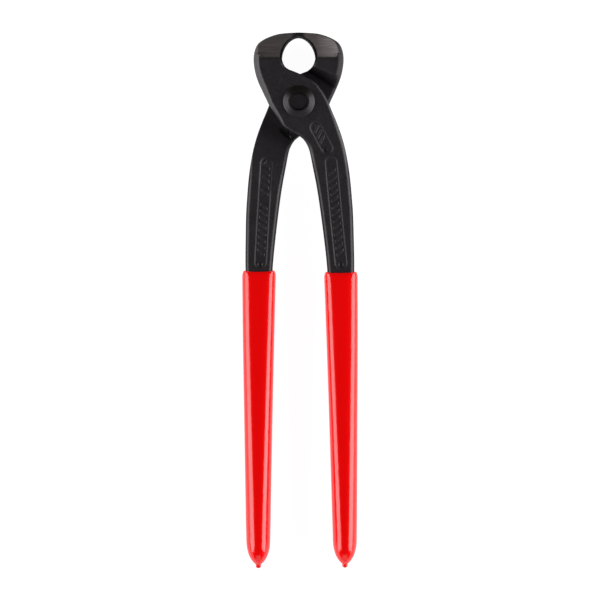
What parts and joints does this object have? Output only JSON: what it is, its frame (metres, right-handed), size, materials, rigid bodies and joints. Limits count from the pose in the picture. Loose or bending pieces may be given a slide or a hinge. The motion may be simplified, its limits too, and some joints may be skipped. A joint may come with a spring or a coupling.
{
  "type": "fencing pliers",
  "caption": "Pincer-type fencing pliers with a round mouth behind blunt closed noses, a riveted lap joint, long bowed handles and smooth dipped grips.",
  "frame": {"origin": "middle of the flat back face of the rivet, on the pivot axis: the face that the tool lies on", "axes": "+Z along the pivot axis to the front, +Y from the pivot to the noses along the tool's middle, +X to the right handle"},
  "size_m": [0.0478, 0.2202, 0.0184],
  "materials": {
    "blackened_steel": "forged, blackened, satin, with ground facets at the noses",
    "rivet_steel": "blackened, satin, turned",
    "red_dip": "smooth glossy dip"
  },
  "bodies": {
    "rear_half": {"rear_lever": "blackened_steel", "left_grip": "red_dip", "pivot_rivet": "rivet_steel"},
    "front_half": {"front_lever": "blackened_steel", "right_grip": "red_dip"}
  },
  "joints": [
    {"name": "jaw_pivot", "type": "hinge", "parent": "rear_half", "child": "front_half", "pos_m": [0, 0, 0.0092], "axis": [0, 0, 1], "range_deg": [0, 40]}
  ]
}
